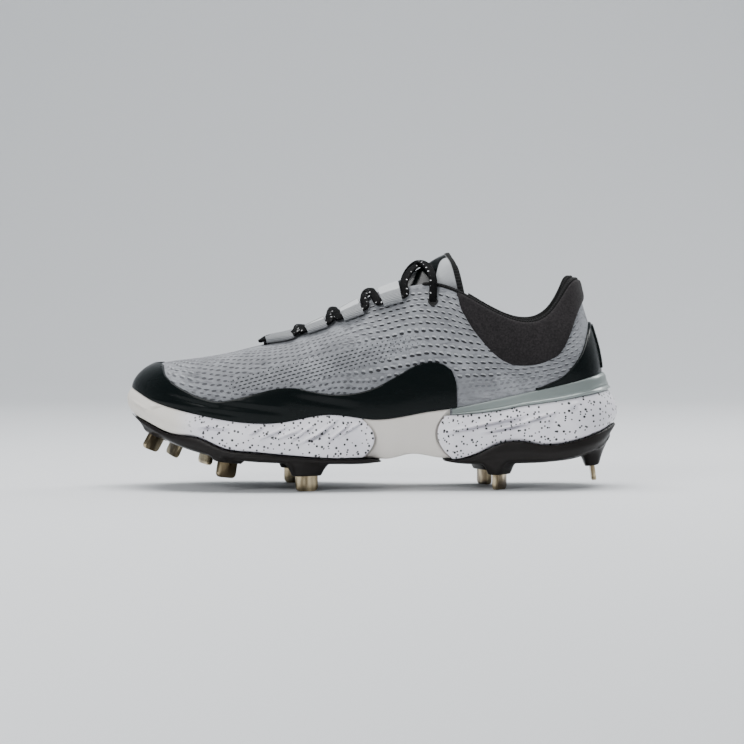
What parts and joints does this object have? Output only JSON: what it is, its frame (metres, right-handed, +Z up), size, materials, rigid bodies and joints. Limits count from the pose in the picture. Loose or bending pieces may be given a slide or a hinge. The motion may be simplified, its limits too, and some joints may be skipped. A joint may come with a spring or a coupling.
{
  "type": "baseball cleat",
  "caption": "Low-cut left baseball shoe with a knit upper, glossy mudguard, padded collar, two-pod foam sole and metal spikes on plastic plates.",
  "frame": {"origin": "middle of the shoe's length and width, on the floor that the spikes stand on", "axes": "+X from the toe to the heel, -Y towards the outer (lateral) side, +Z up"},
  "size_m": [0.2979, 0.1044, 0.1426],
  "materials": {
    "knit_grey": "engineered mesh, cool grey",
    "gloss_black": "glossy fused film",
    "charcoal_cloth": "matt padded cloth",
    "speckled_foam": "moulded foam, white with black speckles",
    "beige_foam": "moulded foam, beige",
    "silver_band": "satin, silver green",
    "black_plate": "satin moulded plastic",
    "spike_steel": "champagne plated steel",
    "black_lace": "woven, black with white flecks",
    "webbing_grey": "ribbed webbing"
  },
  "bodies": {
    "root": {"upper": "knit_grey", "tongue": "knit_grey", "mudguard": "gloss_black", "heel_counter": "gloss_black", "heel_stay": "gloss_black", "collar_pad": "charcoal_cloth", "collar_lining": "charcoal_cloth", "insole": "charcoal_cloth", "midsole_forefoot": "speckled_foam", "midsole_arch": "beige_foam", "midsole_heel": "speckled_foam", "heel_band": "silver_band", "outsole_forefoot": "black_plate", "outsole_heel": "black_plate", "loop_lateral_1": "webbing_grey", "loop_lateral_2": "webbing_grey", "loop_lateral_3": "webbing_grey", "loop_lateral_4": "webbing_grey", "loop_medial_1": "webbing_grey", "loop_medial_2": "webbing_grey", "loop_medial_3": "webbing_grey", "loop_medial_4": "webbing_grey", "lace_bar": "black_lace", "lace_crossing_1": "black_lace", "lace_crossing_2": "black_lace", "lace_crossing_3": "black_lace", "lace_crossing_4": "black_lace", "spike_toe_lateral": "spike_steel", "spike_toe_medial": "spike_steel", "spike_front_medial": "spike_steel", "spike_front_lateral": "spike_steel", "spike_ball_medial": "spike_steel", "spike_ball_lateral": "spike_steel", "spike_heel_medial": "spike_steel", "spike_heel_lateral": "spike_steel", "spike_heel_back": "spike_steel"}
  },
  "joints": []
}
